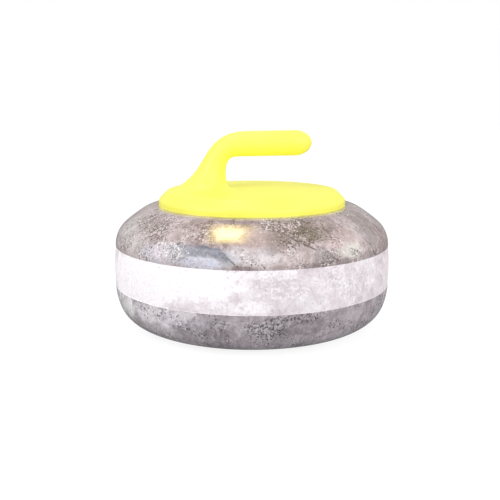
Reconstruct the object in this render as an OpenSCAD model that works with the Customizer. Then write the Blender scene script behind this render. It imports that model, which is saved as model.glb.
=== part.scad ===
// Curling stone: a turned granite body with a sand-blasted striking band, a bonded
// running-band insert underneath, and a one-piece plastic handle held by a bolt
// that runs up through the stone's centre.
//
// Frame: millimetres. +Z is up. The origin is the centre of the ring that touches
// the ice. The free end of the grip points along +X.

/* [Granite body] */
// Radius at the striking band's upper edge
band_top_r = 143.0; // [140:0.1:144.5]
// Radius at the striking band's lower edge
band_bottom_r = 144.1; // [141:0.1:145]
// Height of the middle of the striking band above the ice
band_mid_z = 63.7; // [63:0.1:66]
// Width of the sand-blasted striking band
band_w = 40.6; // [36:0.1:44]
// How far the middle of the striking band bulges past its edges
band_bulge = 0.9; // [0.4:0.1:2]
// Radius of the arc above the striking band
upper_corner_r = 28.8; // [26:0.1:31]
// Radius of the long arc over the upper slope
upper_slope_r = 143; // [130:1:160]
// Radius of the arc that rolls the upper slope into the flat top
top_edge_r = 23.8; // [21:0.1:26]
// Radius of the arc below the striking band
lower_corner_r = 59.8; // [55:0.1:62]
// Radius of the tighter arc under it
lower_turn_r = 30.8; // [28:0.1:32]
// Radius of the arc that rolls into the underside
bottom_edge_r = 39.8; // [32:0.1:44]
// Radius of the cup in the top of the stone, under the handle
top_cup_r = 74; // [60:1:80]
// Depth of the cup in the top of the stone
top_cup_depth = 10; // [8:0.5:10]

/* [Running surface] */
// Inner radius of the ring that touches the ice
ring_inner_r = 60; // [55:0.5:62]
// Width of the ring that touches the ice
ring_w = 5.5; // [4:0.5:7]
// Depth of the cup inside the ring
cup_depth = 9; // [7:0.5:10]
// Outer radius of the running-band insert
insert_r = 76; // [72:1:85]
// Height of the top of the running-band insert
insert_top_z = 24; // [22:0.5:30]
// Thickness of the epoxy bond round the insert
bond_t = 0.4; // [0.2:0.1:0.8]

/* [Handle disc] */
// Radius of the disc
disc_r = 97.6; // [94:0.1:99]
// Height of the disc's rim above the granite, to the middle of its top
disc_h = 17; // [16.5:0.1:18]
// Thickness of the disc's wall
disc_wall = 3.6; // [3:0.1:4]
// Height of the upright part of the disc's rim
disc_rim_h = 3.6; // [3:0.1:4]
// Radius of the arc that rolls the rim into the chamfer
disc_rim_arc = 6; // [5.5:0.1:6.5]
// Length of the chamfer round the disc
disc_chamfer = 8.8; // [8:0.1:9]
// Lean of the chamfer from upright, in degrees
disc_chamfer_turn = 46; // [45:1:48]
// Radius of the arc that rolls the chamfer into the crown
disc_crown_arc = 5; // [4.5:0.1:5.5]
// Number of ribs under the disc
rib_count = 8; // [6:1:12]
// Thickness of a rib
rib_t = 3; // [2:0.5:4]
// Radius of the hub under the disc
hub_r = 17; // [15:0.5:20]

/* [Gooseneck and grip] */
// Radius of the grip
grip_r = 13; // [12:0.1:14]
// Height of the grip's axis above the ice, where it crosses the stone's axis
grip_z = 185.8; // [185:0.1:187]
// Upward tilt of the grip towards its free end, in degrees
grip_tilt = 1.1; // [0:0.1:2]
// Where the straight part of the grip starts
grip_start = -8; // [-8:0.5:-6]
// Where the straight part of the grip ends and its rounded nose starts
grip_end = 44.6; // [40:0.1:50]
// Length of the rounded nose
nose_len = 17.4; // [13:0.1:20]

/* [Fasteners] */
// Radius of the bolt's shank, a 3/8 inch bolt
bolt_r = 4.76; // [4.5:0.01:5]
// Length of the bolt under its head, 4 3/4 inch
bolt_len = 120.65; // [118:0.01:122]
// Height of the bolt's hexagonal head
head_h = 6.2; // [5.5:0.1:6.5]
// Radius of the head across its corners
head_r = 8.25; // [8:0.05:8.5]
// Radius of the drilled hole through the stone
bore_r = 8.75; // [8.5:0.05:9.5]
// Thickness of the rubber washer
rubber_t = 3; // [2:0.5:3.5]
// Thickness of the load washer
load_washer_t = 2; // [1.5:0.5:2.5]
// Thickness of the lock washer
lock_washer_t = 2.3; // [2:0.1:2.5]
// Radius of the load washer
load_washer_r = 18; // [16:0.5:18.5]
// Radius of the nylon flange that seats the hub
flange_r = 19; // [18:0.5:20]
// Thickness of the nylon flange
flange_t = 2.5; // [2:0.5:3]
// Length of each nylon bushing in the bore
bushing_len = 25; // [15:1:40]
// Length of the thread insert
thread_insert_len = 17; // [16.5:0.1:18]

/* [Hidden] */
$fn = 120;

// An arc that goes on from point p, as the direction of travel turns from angle a to
// angle b. Angle 0 is straight along the wall and 90 is straight towards the axis.
function arc_on(p, a, b, r, steps = 10) = [
    for (i = [0:steps])
        let (t = a + (b - a) * i / steps)
            [p[0] + r * (cos(t) - cos(a)), p[1] + r * (sin(t) - sin(a))]
];
function last(list) = list[len(list) - 1];
function flip_z(list) = [for (p = list) [p[0], -p[1]]];
function raise(list, z) = [for (p = list) [p[0], p[1] + z]];
function reverse(list) = [for (i = [len(list) - 1:-1:0]) list[i]];

// Half outline of the granite, measured from the middle of the striking band.
half_band = band_w / 2;
slope_turn = [49.5, 59];
under_turn = [21, 82, 87];
upper_a = arc_on([band_top_r, half_band], 0, slope_turn[0], upper_corner_r, 14);
upper_b = arc_on(last(upper_a), slope_turn[0], slope_turn[1], upper_slope_r, 4);
upper_c = arc_on(last(upper_b), slope_turn[1], 90, top_edge_r, 9);
lower_a = arc_on([band_bottom_r, half_band], 0, under_turn[0], lower_corner_r, 7);
lower_b = arc_on(last(lower_a), under_turn[0], under_turn[1], lower_turn_r, 16);
lower_c = arc_on(last(lower_b), under_turn[1], under_turn[2], bottom_edge_r, 2);
band_steps = 8;
band_line = [
    for (i = [0:band_steps])
        let (s = -1 + 2 * i / band_steps)
            [
                band_bottom_r + (band_top_r - band_bottom_r) * (s + 1) / 2 + band_bulge * (1 - s * s),
                s * half_band
            ]
];
top_z = band_mid_z + last(upper_c)[1];

// Clearances round the bolt, in the bore and round the nylon flange.
washer_clearance = 0.45;
bushing_clearance = 0.24;
bore_clearance = 0.1;
seat_clearance = 1;
thread_clearance = 0.04;
washer_hole_r = bolt_r + washer_clearance;
bushing_hole_r = bolt_r + bushing_clearance;
bushing_r = bore_r - bore_clearance;

// Heights of what is stacked inside.
seat_depth = 1;
hub_floor = 0.5;
counterbore_z = 17.5;
counterbore_r = load_washer_r + 3;
seat_z = top_z - top_cup_depth - seat_depth;
hub_z = seat_z + flange_t;
thread_insert_z = hub_z + hub_floor;
load_washer_z = counterbore_z - rubber_t - load_washer_t;
lock_washer_z = load_washer_z - lock_washer_t;
lock_washer_r = head_r + 0.6;
rubber_washer_r = load_washer_r + 1;
ring_outer_r = ring_inner_r + ring_w;
underside_end = [last(lower_c)[0], band_mid_z - last(lower_c)[1]];
function underside_z(r) =
    underside_end[1] * (r - ring_outer_r) / (underside_end[0] - ring_outer_r);

// Outline of the handle disc, from the rim's lower edge to the middle of its top.
crown_turn = 88;
disc_a = arc_on([disc_r, top_z + disc_rim_h], 0, disc_chamfer_turn, disc_rim_arc, 6);
disc_b = last(disc_a) + disc_chamfer * [-sin(disc_chamfer_turn), cos(disc_chamfer_turn)];
disc_c = arc_on(disc_b, disc_chamfer_turn, crown_turn, disc_crown_arc, 6);
disc_top_z = top_z + disc_h;
roof_under_z = disc_top_z - disc_wall;
roof_edge = [disc_b[0] - disc_wall, roof_under_z - 1.4];

// Gooseneck stations, from the disc up to the grip. Each holds x and z of the outer
// side, x and z of the inner side, and the half width across.
stations = [
    [-83.5, 137.2, -19, 137.2, 38],
    [-78.5, 140.2, -22.9, 140.2, 32],
    [-71.6, 145.1, -25.8, 144.6, 26.5],
    [-63.6, 152.1, -27.1, 150.1, 22.5],
    [-56.7, 160.5, -27.3, 156.1, 19.5],
    [-50.7, 170, -27, 161.5, 17.5],
    [-44.7, 179.4, -25.8, 166, 16],
    [-37.3, 187.7, -23.7, 169.4, 14.8],
    [-28.3, 193.8, -20.3, 171.7, 13.8],
    [-18.4, 197.2, -15.4, 172.4, 13.1],
    [-9, 198.5, -8.7, 172.8, 12.9],
    [-3, 198.6, -2.7, 172.9, 12.9]
];
rings_between = 4;
ring_sides = 32;

function spline(a, b, c, d, t) =
    0.5 * (2 * b + (c - a) * t + (2 * a - 5 * b + 4 * c - d) * t * t
        + (3 * b - a - 3 * c + d) * t * t * t);
function station(i) = stations[max(0, min(len(stations) - 1, i))];
neck_rings = concat(
    [
        for (i = [0:len(stations) - 2], k = [0:rings_between - 1])
            spline(station(i - 1), station(i), station(i + 1), station(i + 2), k / rings_between)
    ],
    [last(stations)]
);
neck_points = [
    for (s = neck_rings, k = [0:ring_sides - 1])
        let (a = 360 * k / ring_sides)
            [
                (s[0] + s[2]) / 2 + (s[0] - s[2]) / 2 * cos(a),
                s[4] * sin(a),
                (s[1] + s[3]) / 2 + (s[1] - s[3]) / 2 * cos(a)
            ]
];
neck_sides = [
    for (j = [0:len(neck_rings) - 2], k = [0:ring_sides - 1])
        let (n = (k + 1) % ring_sides, low = j * ring_sides, high = low + ring_sides)
            each [[low + k, low + n, high + n], [low + k, high + n, high + k]]
];
neck_caps = [
    [for (k = [ring_sides - 1:-1:0]) k],
    [for (k = [0:ring_sides - 1]) (len(neck_rings) - 1) * ring_sides + k]
];

module ring(inner_r, outer_r, z, h) {
    translate([0, 0, z])
        difference() {
            cylinder(r = outer_r, h = h);
            translate([0, 0, -1]) cylinder(r = inner_r, h = h + 2);
        }
}

// Hollow cut by a shallow ball: radius r at the rim, at height z, and depth deep.
module dish(r, z, depth, up) {
    ball_r = (r * r + depth * depth) / (2 * depth);
    translate([0, 0, z + (up ? depth - ball_r : ball_r - depth)])
        sphere(r = ball_r);
}

module granite_body() {
    color("rosybrown")
        difference() {
            rotate_extrude()
                polygon(concat(
                    [[0, 0], [ring_outer_r, 0]],
                    reverse(raise(flip_z(concat(lower_a, lower_b, lower_c)), band_mid_z)),
                    raise([for (i = [1:band_steps - 1]) band_line[i]], band_mid_z),
                    raise(concat(upper_a, upper_b, upper_c), band_mid_z),
                    [[0, top_z]]
                ));
            dish(top_cup_r, top_z, top_cup_depth, false);
            translate([0, 0, seat_z]) cylinder(r = flange_r + seat_clearance, h = top_cup_depth);
            translate([0, 0, -1]) cylinder(r = insert_r + bond_t, h = insert_top_z + bond_t + 1);
            cylinder(r = bore_r, h = top_z);
        }
}

module running_band_insert() {
    color("slategray")
        difference() {
            rotate_extrude()
                polygon([
                    [0, 0], [ring_outer_r, 0], [insert_r, underside_z(insert_r)],
                    [insert_r, insert_top_z], [0, insert_top_z]
                ]);
            dish(ring_inner_r, 0, cup_depth, true);
            cylinder(r = counterbore_r, h = counterbore_z);
            cylinder(r = bore_r, h = insert_top_z + 1);
        }
}

module insert_bond() {
    outer_r = insert_r + bond_t;
    color("gainsboro")
        rotate_extrude()
            polygon([
                [insert_r, underside_z(insert_r)], [outer_r, underside_z(outer_r)],
                [outer_r, insert_top_z + bond_t], [bore_r, insert_top_z + bond_t],
                [bore_r, insert_top_z], [insert_r, insert_top_z]
            ]);
}

module disc_shell() {
    inner_r = disc_r - disc_wall;
    inner_rim_h = disc_rim_h + 1;
    rotate_extrude()
        polygon(concat(
            [[inner_r, top_z], [disc_r, top_z]],
            disc_a, disc_c,
            [[0, disc_top_z], [0, roof_under_z], roof_edge, [inner_r, top_z + inner_rim_h]]
        ));
}

module ribs() {
    rib_low = top_z + 2;
    rib_from = hub_r - 1;
    for (i = [0:rib_count - 1])
        rotate([0, 0, 360 * (i + 0.5) / rib_count])
            translate([rib_from, -rib_t / 2, rib_low])
                cube([roof_edge[0] - rib_from, rib_t, roof_under_z - rib_low]);
}

module along_grip() {
    translate([0, 0, grip_z]) rotate([0, 90 - grip_tilt, 0]) children();
}

module grip() {
    nose_steps = 8;
    along_grip() {
        translate([0, 0, grip_start]) cylinder(r = grip_r, h = grip_end - grip_start);
        rotate_extrude()
            polygon(concat(
                [[0, grip_end - 1], [grip_r, grip_end - 1]],
                [
                    for (i = [0:nose_steps])
                        let (t = 90 * i / nose_steps)
                            [grip_r * cos(t), grip_end + nose_len * sin(t)]
                ]
            ));
    }
}

module gooseneck() {
    polyhedron(points = neck_points, faces = concat(neck_sides, neck_caps), convexity = 4);
}

// Grooved outline of the thread insert, which the hub's plastic is moulded round.
module thread_insert_form() {
    wide = 8;
    narrow = 7;
    land = thread_insert_len / 4;
    translate([0, 0, thread_insert_z])
        rotate_extrude()
            polygon([
                [0, 0], [wide, 0], [wide, land], [narrow, land], [narrow, 1.5 * land],
                [wide, 1.5 * land], [wide, 2.5 * land], [narrow, 2.5 * land],
                [narrow, 3 * land], [wide, 3 * land], [wide, 4 * land], [0, 4 * land]
            ]);
}

module handle() {
    color("yellow")
        union() {
            difference() {
                union() {
                    disc_shell();
                    ribs();
                    translate([0, 0, hub_z]) cylinder(r = hub_r, h = roof_under_z - hub_z + 1);
                }
                thread_insert_form();
                translate([0, 0, hub_z - 1]) cylinder(r = washer_hole_r, h = 2);
            }
            gooseneck();
            grip();
        }
}

module thread_insert() {
    color("goldenrod")
        difference() {
            thread_insert_form();
            translate([0, 0, thread_insert_z - 1])
                cylinder(r = bolt_r + thread_clearance, h = thread_insert_len + 2);
        }
}

module handle_bolt() {
    color("silver") {
        translate([0, 0, lock_washer_z - head_h]) cylinder(r = head_r, h = head_h, $fn = 6);
        translate([0, 0, lock_washer_z - 0.5]) cylinder(r = bolt_r, h = bolt_len + 0.5);
    }
}

module lock_washer() {
    split = 2;
    color("dimgray")
        difference() {
            ring(washer_hole_r, lock_washer_r, lock_washer_z, lock_washer_t);
            translate([0, -split / 2, lock_washer_z - 1]) cube([lock_washer_r + 1, split, lock_washer_t + 2]);
        }
}

module load_washer() {
    color("lightgray") ring(washer_hole_r, load_washer_r, load_washer_z, load_washer_t);
}

module rubber_washer() {
    color("black") ring(washer_hole_r, rubber_washer_r, counterbore_z - rubber_t, rubber_t);
}

module top_bushing() {
    color("ivory")
        difference() {
            union() {
                ring(bushing_hole_r, flange_r, seat_z, flange_t);
                translate([0, 0, seat_z - bushing_len]) cylinder(r = bushing_r, h = bushing_len + 1);
            }
            translate([0, 0, seat_z - bushing_len - 1])
                cylinder(r = bushing_hole_r, h = bushing_len + flange_t + 2);
        }
}

module lower_bushing() {
    color("ivory") ring(bushing_hole_r, bushing_r, counterbore_z, bushing_len);
}

granite_body();
running_band_insert();
insert_bond();
handle();
thread_insert();
handle_bolt();
lock_washer();
load_washer();
rubber_washer();
top_bushing();
lower_bushing();
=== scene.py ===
"""Looks of a curling stone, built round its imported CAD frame. +Z is up, and the grip points along +X.

Outlines are in millimetres, and become metres when a mesh is made. Lights, camera and
textures are in metres. The camera looks from the -Y side.
"""

import math

import bmesh
import bpy
from mathutils import Matrix, Vector


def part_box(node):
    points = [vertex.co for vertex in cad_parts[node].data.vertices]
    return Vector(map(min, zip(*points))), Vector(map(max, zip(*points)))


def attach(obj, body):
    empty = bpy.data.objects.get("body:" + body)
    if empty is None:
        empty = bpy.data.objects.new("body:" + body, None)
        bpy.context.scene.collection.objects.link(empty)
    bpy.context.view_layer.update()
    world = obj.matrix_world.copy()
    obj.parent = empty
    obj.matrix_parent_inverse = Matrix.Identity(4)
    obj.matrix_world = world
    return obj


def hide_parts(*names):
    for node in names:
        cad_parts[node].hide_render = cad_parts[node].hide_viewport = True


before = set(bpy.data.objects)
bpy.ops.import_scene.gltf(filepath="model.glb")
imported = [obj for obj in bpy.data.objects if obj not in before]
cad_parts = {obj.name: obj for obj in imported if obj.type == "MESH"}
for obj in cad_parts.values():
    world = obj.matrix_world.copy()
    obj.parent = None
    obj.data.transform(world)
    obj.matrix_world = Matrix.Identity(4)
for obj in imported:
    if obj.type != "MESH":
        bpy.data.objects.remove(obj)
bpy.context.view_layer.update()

MM = 0.001
SIDES = 192
HANDLE_SIDES = 128
SMALL_SIDES = 72
ARC_STEP = 2.5
SHARP_ANGLE = math.radians(32)

# Granite body
BAND_TOP_R = 143.0
BAND_BOTTOM_R = 144.1
BAND_MID_Z = 63.7
BAND_HALF = 20.3
BAND_BULGE = 0.9
BAND_RECESS = 0.25
UPPER_TURNS = ((49.5, 28.8), (59.0, 143.0), (90.0, 23.8))
LOWER_TURNS = ((21.0, 59.8), (82.0, 30.8), (87.0, 39.8))
TOP_CUP_R = 74.0
TOP_CUP_DEPTH = 10.0
RING_INNER_R = 60.0
RING_OUTER_R = 65.5
RING_EDGE_Z = 0.3
CUP_DEPTH = 9.0
BORE_R = 8.75
COUNTERBORE_R = 21.0
INSERT_EDGE = 0.7
SEAT_CLEARANCE = 1.0

# Looks of the granite: how deep a local patch reaches, in millimetres, then widths in metres,
# and the grains of the warp per metre. STREAK_LIFT and USUAL_STREAKS are shares.
PATCH_DEPTH = 60.0
BLOTCH = 0.0055
MOTTLE = 0.011
STREAK = 0.0048
VEIN_SPACING = 0.036
CRYSTAL = 0.0024
CRYSTAL_GRAIN = 0.0016
GATHERING = 0.022
WARP_SCALE = 420.0
WARP = 0.0016
WRAP_R = 0.14
STREAK_LIFT = 0.35
USUAL_STREAKS = 0.24

# Handle
DISC_WALL = 3.6
DISC_EDGE_ARC = 6.0
DISC_CHAMFER = 8.8
DISC_CHAMFER_TURN = 46.0
DISC_TOP_ARC = 5.0
CROWN_TURN = 88.0
RIB_COUNT = 8
RIB_T = 3.0
LEDGE = 0.7
HUB_R = 17.0
GRIP_R = 13.0
GRIP_Z = 185.8
GRIP_TILT = math.radians(1.1)
GRIP_START = 4.0
GRIP_END = 44.6
NOSE_LEN = 17.4

# Bolt and what it passes through
BOLT_R = 4.76
HEAD_H = 6.2
HEAD_CORNER_R = 8.25
HEAD_FLAT_R = HEAD_CORNER_R * math.cos(math.radians(30))
HEAD_CHAMFER = 0.9
FILLET = 0.3
THREAD_PITCH = 25.4 / 16
THREAD_DEPTH = 0.62
THREAD_LEN = 32.0
THREAD_STEP = 0.2
TIP_CHAMFER = 0.9
WASHER_HOLE_R = 5.21
BUSHING_HOLE_R = 5.0
FLANGE_T = 2.5
SPLIT = 2.0
KNURLS = 36
KNURL_DEPTH = 0.35
INSERT_GROOVE = 1.0

# Camera
CAMERA_AT = Vector((-0.002, -0.7292, 0.2225))
CAMERA_PITCH = math.radians(11.59)
LENS = 50.0
SENSOR = 36.0

# How bright the white room is, as a light and in reflections
ROOM_ABOVE = 0.87
ROOM_BELOW = 0.50
MIRRORED_ABOVE = 0.45
MIRRORED_BELOW = 0.25
HORIZON = (-0.3, 0.2)

FLOOR_HALF = 6.0
FLOOR_GLOW = 0.85
LAMP_AIM = (0.0, 0.0, 0.07)


def top_of(node):
    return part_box(node)[1].z / MM


def bottom_of(node):
    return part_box(node)[0].z / MM


def radius_of(node):
    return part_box(node)[1].x / MM


# ---------------------------------------------------------------- outlines

def arc_on(start, turn_from, turn_to, radius):
    """An arc that goes on from start while its heading turns, in degrees.

    A heading of 0 is straight along the wall, and 90 is straight towards the axis."""
    steps = max(2, round(abs(turn_to - turn_from) / ARC_STEP))
    first = math.radians(turn_from)
    made = []
    for i in range(steps + 1):
        a = first + math.radians(turn_to - turn_from) * i / steps
        made.append((
            start[0] + radius * (math.cos(a) - math.cos(first)),
            start[1] + radius * (math.sin(a) - math.sin(first)),
        ))
    return made


def arcs_on(start, turns):
    """Arcs that follow on from each other. turns holds (heading at its end, radius) of each."""
    made = [start]
    heading = 0.0
    for end, radius in turns:
        made += arc_on(made[-1], heading, end, radius)[1:]
        heading = end
    return made


def rounded(points, reach, closed=True):
    """The outline with each real corner cut back by reach and rounded."""
    made = []
    count = len(points)
    for i, here in enumerate(points):
        if not closed and i in (0, count - 1):
            made.append(here)
            continue
        p = Vector(here)
        before = Vector(points[i - 1]) - p
        after = Vector(points[(i + 1) % count]) - p
        if before.length < 1e-6 or after.length < 1e-6 or before.angle(after) > math.radians(150):
            made.append(here)
            continue
        a = p + before.normalized() * min(reach, before.length * 0.45)
        b = p + after.normalized() * min(reach, after.length * 0.45)
        for t in (0.0, 0.25, 0.5, 0.75, 1.0):
            made.append(tuple((1 - t) ** 2 * a + 2 * t * (1 - t) * p + t * t * b))
    return made


def dish_line(rim_r, rim_z, depth, inner_r, steps=16):
    """The line of a shallow ball from its rim in to inner_r. A positive depth rises."""
    ball_r = (rim_r ** 2 + depth ** 2) / (2 * abs(depth))
    made = []
    for i in range(steps + 1):
        r = rim_r + (inner_r - rim_r) * i / steps
        drop = ball_r - math.sqrt(ball_r ** 2 - r ** 2)
        made.append((r, rim_z + math.copysign(abs(depth) - drop, depth)))
    return made


# ---------------------------------------------------------------- meshes

def skin(name, rings, closed, slots=None, materials=()):
    """A mesh over rings that all have the same number of points, in millimetres.

    A closed skin joins its last ring to its first, and an open one ends in two poles."""
    count = len(rings[0])
    points = [Vector(p) * MM for ring in rings for p in ring]
    faces = []
    kinds = []
    spans = len(rings) if closed else len(rings) - 1
    for i in range(spans):
        low = i * count
        high = (i + 1) % len(rings) * count
        for k in range(count):
            n = (k + 1) % count
            faces.append((low + k, low + n, high + n, high + k))
            kinds.append(slots[i] if slots else 0)
    if not closed:
        for low in (0, (len(rings) - 1) * count):
            pole = len(points)
            points.append(sum((points[low + k] for k in range(count)), Vector()) / count)
            for k in range(count):
                faces.append((low + k, low + (k + 1) % count, pole))
                kinds.append(kinds[0] if low == 0 else kinds[-1])
    mesh = bpy.data.meshes.new(name)
    mesh.from_pydata(points, [], faces)
    for m in materials:
        mesh.materials.append(m)
    mesh.polygons.foreach_set("material_index", kinds)
    return tidy(bpy.data.objects.new(name, mesh))


def tidy(piece):
    """Faces outwards, smooth but for real edges, and in the scene."""
    bm = bmesh.new()
    bm.from_mesh(piece.data)
    bmesh.ops.recalc_face_normals(bm, faces=bm.faces[:])
    bm.to_mesh(piece.data)
    bm.free()
    piece.data.shade_smooth()
    piece.data.set_sharp_from_angle(angle=SHARP_ANGLE)
    if piece.name not in bpy.context.scene.collection.objects:
        bpy.context.scene.collection.objects.link(piece)
    return piece


def circle(r, z, sides):
    """A ring round the axis. It starts on the -X side."""
    turns = [2 * math.pi * k / sides for k in range(sides)]
    return [(-r * math.cos(a), r * math.sin(a), z) for a in turns]


def turned(name, runs, sides=SIDES):
    """A ring solid turned from one closed outline. runs holds (material, points) of each stretch."""
    materials = []
    outline = []
    slots = []
    for material, points in runs:
        if material not in materials:
            materials.append(material)
        for p in points:
            if outline and (Vector(p) - Vector(outline[-1])).length < 1e-6:
                continue
            if outline:
                slots.append(materials.index(material))
            outline.append(p)
    slots.append(0)
    rings = [circle(r, z, sides) for r, z in outline]
    return skin(name, rings, True, slots, materials)


def place(piece, slot, *nodes):
    """The piece rides on the stone and stands for those CAD nodes."""
    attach(piece, "root")
    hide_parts(*nodes)
    return piece


# ---------------------------------------------------------------- materials

class Look:
    """One node material, built by small calls that each return an output socket."""

    def __init__(self, name, roughness, metallic=0.0, specular=0.5):
        self.material = bpy.data.materials.new(name)
        self.material.use_nodes = True
        self.tree = self.material.node_tree
        self.shader = next(n for n in self.tree.nodes if n.type == "BSDF_PRINCIPLED")
        self.shader.inputs["Roughness"].default_value = roughness
        self.shader.inputs["Metallic"].default_value = metallic
        self.shader.inputs["Specular IOR Level"].default_value = specular
        self.place = self.node("ShaderNodeTexCoord").outputs["Object"]
        self.noises = {}

    def node(self, kind, settings=(), **inputs):
        made = self.tree.nodes.new(kind)
        for key, value in dict(settings).items():
            setattr(made, key, value)
        for key, value in inputs.items():
            self.feed(made.inputs[key], value)
        return made

    def feed(self, socket, value):
        if isinstance(value, bpy.types.NodeSocket):
            self.tree.links.new(value, socket)
        elif socket.type == "RGBA" and len(value) == 3:
            socket.default_value = (*value, 1.0)
        else:
            socket.default_value = value

    def noise(self, size, detail=3.0, roughness=0.55, distortion=0.0, at=None, low=0.0, high=1.0):
        """Soft noise whose features are about size metres wide, stretched so that low..high fills 0..1.

        Asking for the same noise again gives the same nodes."""
        key = (size, detail, roughness, distortion, at, low, high)
        if key not in self.noises:
            made = self.node("ShaderNodeTexNoise", Vector=at or self.place, Scale=1.0 / size)
            made.inputs["Detail"].default_value = detail
            made.inputs["Roughness"].default_value = roughness
            made.inputs["Distortion"].default_value = distortion
            self.noises[key] = self.stretch(made.outputs["Fac"], low, high)
        return self.noises[key]

    def stretch(self, value, low, high, to_low=0.0, to_high=1.0, smooth=False):
        kind = "SMOOTHSTEP" if smooth else "LINEAR"
        made = self.node("ShaderNodeMapRange", {"clamp": True, "interpolation_type": kind}, Value=value)
        ends = {"From Min": low, "From Max": high, "To Min": to_low, "To Max": to_high}
        for key, number in ends.items():
            made.inputs[key].default_value = number
        return made.outputs["Result"]

    def cells(self, size, at):
        """Crystals about size metres wide, each with one random value."""
        made = self.node("ShaderNodeTexVoronoi", Vector=at, Scale=1.0 / size)
        return self.node("ShaderNodeSeparateColor", Color=made.outputs["Color"]).outputs["Red"]

    def math(self, operation, *values):
        made = self.node("ShaderNodeMath", {"operation": operation})
        for socket, value in zip(made.inputs, values):
            self.feed(socket, value)
        return made.outputs[0]

    def times(self, a, b):
        return self.math("MULTIPLY", a, b)

    def weigh(self, *parts):
        """The sum of values, each times its share."""
        total = None
        for value, share in parts:
            part = self.times(value, share)
            total = part if total is None else self.math("ADD", total, part)
        return total

    def vector(self, operation, a, b=None, scale=None):
        made = self.node("ShaderNodeVectorMath", {"operation": operation})
        self.feed(made.inputs[0], a)
        if b is not None:
            self.feed(made.inputs[1], b)
        if scale is not None:
            self.feed(made.inputs["Scale"], scale)
        return made.outputs["Value" if operation == "LENGTH" else "Vector"]

    def mix(self, share, a, b):
        made = self.node("ShaderNodeMix", {"data_type": "RGBA", "clamp_factor": True})
        self.feed(made.inputs[0], share)
        self.feed(made.inputs[6], a)
        self.feed(made.inputs[7], b)
        return made.outputs[2]

    def ramp(self, value, *stops):
        """Colours along value. stops holds (position, colour) of each."""
        made = self.node("ShaderNodeValToRGB", Fac=value)
        elements = made.color_ramp.elements
        while len(elements) < len(stops):
            elements.new(0.5)
        for element, (position, colour) in zip(elements, stops):
            element.position = position
            element.color = (*colour, 1.0)
        return made.outputs["Color"]

    def inside(self, azimuth, height, half_w, half_h, wobble=1.0, soft=0.3, tilt=0.0, grain=0.008):
        """1 in an oval on the stone's side and 0 outside it.

        wobble makes its edge ragged, soft makes the edge wide, and tilt lowers its right end."""
        turn = math.radians(azimuth)
        centre = (BAND_TOP_R * MM * math.sin(turn), -BAND_TOP_R * MM * math.cos(turn), height * MM)
        made = self.node("ShaderNodeMapping", {"vector_type": "TEXTURE"}, Vector=self.place)
        made.inputs["Location"].default_value = centre
        made.inputs["Rotation"].default_value = (0.0, math.radians(tilt), turn)
        made.inputs["Scale"].default_value = (half_w * MM, PATCH_DEPTH * MM, half_h * MM)
        away = self.vector("LENGTH", made.outputs["Vector"])
        ragged = self.weigh((away, 1.0), (self.noise(grain, 3, 0.6), wobble))
        return self.stretch(ragged, 1 + wobble / 2 + soft, 1 + wobble / 2 - soft, smooth=True)

    def patch(self, colour, azimuth, height, half_w, half_h, tint, strength, *edge):
        """A patch of another tint laid over colour, thinner between the blotches."""
        inside = self.inside(azimuth, height, half_w, half_h, *edge)
        blotches = self.noise(BLOTCH, 4, 0.65, 0.4, low=0.36, high=0.60)
        cover = self.stretch(blotches, 0.0, 1.0, 0.45 * strength, 1.1 * strength)
        return self.mix(self.times(inside, cover), colour, tint)

    def bump(self, height, strength, distance):
        made = self.node("ShaderNodeBump", Height=height)
        made.inputs["Strength"].default_value = strength
        made.inputs["Distance"].default_value = distance
        self.feed(self.shader.inputs["Normal"], made.outputs["Normal"])

    def colour(self, value):
        self.feed(self.shader.inputs["Base Color"], value)

    def rough(self, value, low, high):
        self.feed(self.shader.inputs["Roughness"], self.stretch(value, 0.0, 1.0, low, high))

    def coat(self, weight, roughness):
        self.shader.inputs["Coat Weight"].default_value = weight
        self.shader.inputs["Coat Roughness"].default_value = roughness


def round_the_stone(look):
    """Texture coordinates that run round the stone, stretched up and down its side."""
    flat = look.vector("MULTIPLY", look.place, (1.0, 1.0, 0.0))
    wrap = look.vector("SCALE", look.vector("NORMALIZE", flat), scale=WRAP_R)
    parts = look.node("ShaderNodeSeparateXYZ", Vector=look.place)
    rise = look.math("SUBTRACT", parts.outputs["Z"], look.vector("LENGTH", flat))
    lift = look.node("ShaderNodeCombineXYZ", Z=look.times(rise, STREAK_LIFT))
    return look.vector("ADD", wrap, lift.outputs["Vector"])


def warped(look):
    """Texture coordinates pushed about a little, which makes grains ragged."""
    noise = look.node("ShaderNodeTexNoise", Vector=look.place, Scale=WARP_SCALE)
    push = look.vector("SUBTRACT", noise.outputs["Color"], (0.5, 0.5, 0.5))
    return look.vector("ADD", look.place, look.vector("SCALE", push, scale=WARP))


def tone_of(look, cloud, streaky):
    """Clouds, mottles and streaks, from 0 where they are darkest to 1."""
    clouds = look.noise(cloud, 4, 0.55, 0.5, low=0.32, high=0.68)
    mottle = look.noise(MOTTLE, 5, 0.62, 0.5, low=0.28, high=0.72)
    streaks = look.noise(STREAK, 4, 0.62, 0.3, at=round_the_stone(look), low=0.30, high=0.70)
    tone = look.weigh((clouds, 0.42), (mottle, 0.58 - streaky), (streaks, streaky))
    return look.stretch(tone, 0.18, 0.82)


def hairlines(look):
    """Fine crooked lines, here and there."""
    ridge = look.math("ABSOLUTE", look.math("SUBTRACT", look.noise(VEIN_SPACING, 4, 0.6, 1.2), 0.5))
    return look.times(look.stretch(ridge, 0.016, 0.004), look.noise(0.03, 2, low=0.45, high=0.65))


def gathering(look, herds, column):
    """How much grains gather, from 0 to 1. column says which of a herd's two numbers counts."""
    total = look.times(look.noise(GATHERING, 3, 0.55, 0.6, low=0.46, high=0.62), 0.70)
    for herd in herds:
        total = look.weigh((total, 1.0), (look.inside(*herd[:4], 0.9, 0.4), herd[column]))
    return look.stretch(total, 0.0, 1.0)


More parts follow.
